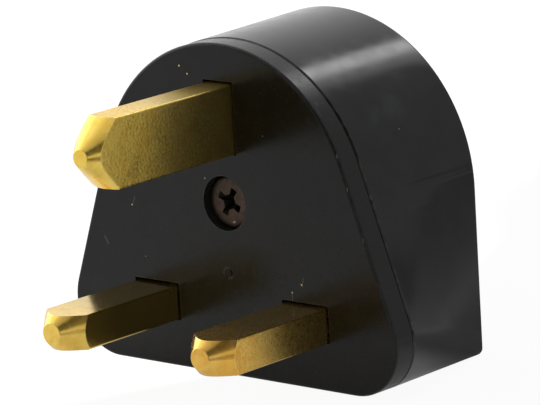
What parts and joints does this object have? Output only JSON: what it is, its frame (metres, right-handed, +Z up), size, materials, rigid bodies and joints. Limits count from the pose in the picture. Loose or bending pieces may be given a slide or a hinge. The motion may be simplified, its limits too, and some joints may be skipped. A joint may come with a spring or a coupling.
{
  "type": "travel adapter",
  "caption": "Travel adapter with solid brass three-pin plug side, round-topped black housing and a rear outlet for round-pin and flat-blade plugs.",
  "frame": {"origin": "on the plug face, midway between the centres of the line and neutral pins", "axes": "+X to the right seen from the pin side, +Y back from the plug face through the housing, +Z up towards the earth pin; the pins point along -Y"},
  "size_m": [0.0482, 0.0438, 0.0388],
  "materials": {
    "housing_plastic": "charcoal black moulded plastic with a soft gloss",
    "plate_plastic": "charcoal black moulded plastic, satin, lightly scuffed",
    "pin_brass": "drawn and turned bare brass, slightly mottled and tarnished",
    "contact_brass": "rolled bare brass",
    "rivet_brass": "bare brass",
    "spring_steel": "rolled spring steel",
    "screw_steel": "dull brown-bronze plated steel"
  },
  "bodies": {
    "root": {"housing": "housing_plastic", "pin_plate": "plate_plastic", "earth_pin": "pin_brass", "line_pin": "pin_brass", "neutral_pin": "pin_brass", "earth_contact": "contact_brass", "line_contact": "contact_brass", "neutral_contact": "contact_brass", "line_spring": "spring_steel", "neutral_spring": "spring_steel", "spring_rivets": "rivet_brass", "body_screw": "screw_steel", "screw_insert": "contact_brass"}
  },
  "joints": []
}
